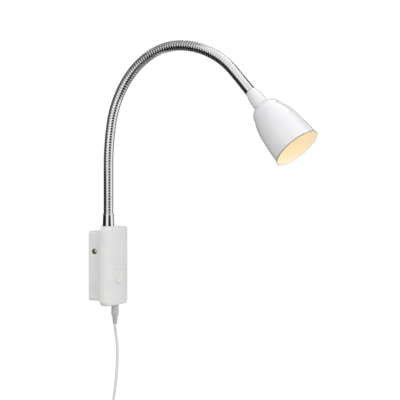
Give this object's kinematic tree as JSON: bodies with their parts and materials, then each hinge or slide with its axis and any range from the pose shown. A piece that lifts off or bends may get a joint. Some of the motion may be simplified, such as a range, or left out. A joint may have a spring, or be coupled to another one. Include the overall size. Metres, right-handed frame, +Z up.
{
  "type": "wall reading lamp",
  "caption": "Bedside wall reading lamp: white wall box with push button, chrome gooseneck, white tulip shade, low-voltage lead",
  "frame": {"origin": "on the wall, at the middle of the wall box's flat back", "axes": "+Z up, -Y out of the wall into the room, +X to the right seen from the room"},
  "size_m": [0.0955, 0.3041, 0.6151],
  "materials": {
    "housing_plastic": "satin white ABS, moulded",
    "button_plastic": "satin white ABS, moulded",
    "screw_steel": "zinc-plated steel",
    "spring_steel": "bare spring steel wire",
    "brass": "turned brass",
    "black_plastic": "black moulded plastic",
    "board_laminate": "glass-epoxy laminate",
    "can_aluminium": "bare aluminium",
    "chrome": "polished chrome plate",
    "lead_jacket": "PVC insulation",
    "shade_gloss": "gloss white, warm white inside",
    "led_phosphor": "yellow phosphor under silicone",
    "frosted_lens": "frosted acrylic lens",
    "plug_plastic": "satin pale grey PVC",
    "nickel": "nickel-plated brass",
    "cord_jacket": "satin pale grey PVC jacket"
  },
  "bodies": {
    "housing": {"wall_box": "housing_plastic", "front_cover": "housing_plastic", "cover_screws": "screw_steel", "cover_inserts": "brass", "switch_body": "black_plastic", "switch_spring": "spring_steel", "circuit_board": "board_laminate", "board_screws": "screw_steel", "dc_jack": "black_plastic", "capacitor": "can_aluminium", "inductor": "black_plastic", "lower_ferrule": "chrome", "neck_washer": "screw_steel", "neck_nut": "screw_steel", "lamp_lead": "lead_jacket", "neck_segment_1": "chrome"},
    "button": {"push_button": "button_plastic", "switch_plunger": "button_plastic"},
    "neck_2": {"neck_segment_2": "chrome"},
    "neck_3": {"neck_segment_3": "chrome"},
    "neck_4": {"neck_segment_4": "chrome"},
    "neck_5": {"neck_segment_5": "chrome"},
    "neck_6": {"neck_segment_6": "chrome"},
    "head": {"neck_segment_7": "chrome", "upper_ferrule": "chrome", "neck_cup": "shade_gloss", "shade": "shade_gloss", "shade_nut": "screw_steel", "heat_sink": "can_aluminium", "led_board": "can_aluminium", "led_chip": "led_phosphor", "retaining_ring": "button_plastic", "diffuser_lens": "frosted_lens", "head_lead": "lead_jacket"},
    "plug": {"dc_plug_body": "plug_plastic", "dc_plug_barrel": "nickel", "supply_cord": "cord_jacket", "cord_coil": "cord_jacket", "cord_tail": "cord_jacket", "cable_tie": "plug_plastic", "adapter_body": "plug_plastic", "adapter_pins": "nickel"}
  },
  "joints": [
    {"name": "button_press", "type": "slide", "parent": "housing", "child": "button", "axis": [0, 1, 0], "range_m": [0, 0.0015], "stiffness_N_per_m": 900, "springref_m": -0.0012, "deforming": ["switch_spring"]},
    {"name": "neck_bend_1", "type": "hinge", "parent": "housing", "child": "neck_2", "pos_m": [0, -0.0173, 0.1063], "axis": [0.9962, -0.0872, 0], "range_deg": [-5, 25]},
    {"name": "neck_sway_1", "type": "hinge", "parent": "neck_2", "child": "neck_3", "pos_m": [-0.00013, -0.01879, 0.15875], "axis": [-0.0867, -0.9905, -0.1067], "range_deg": [-25, 25]},
    {"name": "neck_bend_2", "type": "hinge", "parent": "neck_3", "child": "neck_4", "pos_m": [-0.00112, -0.03011, 0.20979], "axis": [0.9962, -0.0872, 0], "range_deg": [-25, 25]},
    {"name": "neck_sway_2", "type": "hinge", "parent": "neck_4", "child": "neck_5", "pos_m": [-0.00377, -0.06035, 0.25197], "axis": [-0.0533, -0.6088, -0.7915], "range_deg": [-25, 25]},
    {"name": "neck_bend_3", "type": "hinge", "parent": "neck_5", "child": "neck_6", "pos_m": [-0.00792, -0.10779, 0.2725], "axis": [0.9962, -0.0872, 0], "range_deg": [-25, 25]},
    {"name": "neck_bend_4", "type": "hinge", "parent": "neck_6", "child": "head", "pos_m": [-0.01241, -0.15911, 0.26609], "axis": [0.9962, -0.0872, 0], "range_deg": [-25, 25]},
    {"name": "plug_pull", "type": "slide", "parent": "housing", "child": "plug", "axis": [0, 0, -1], "range_m": [0, 0.0095]}
  ]
}
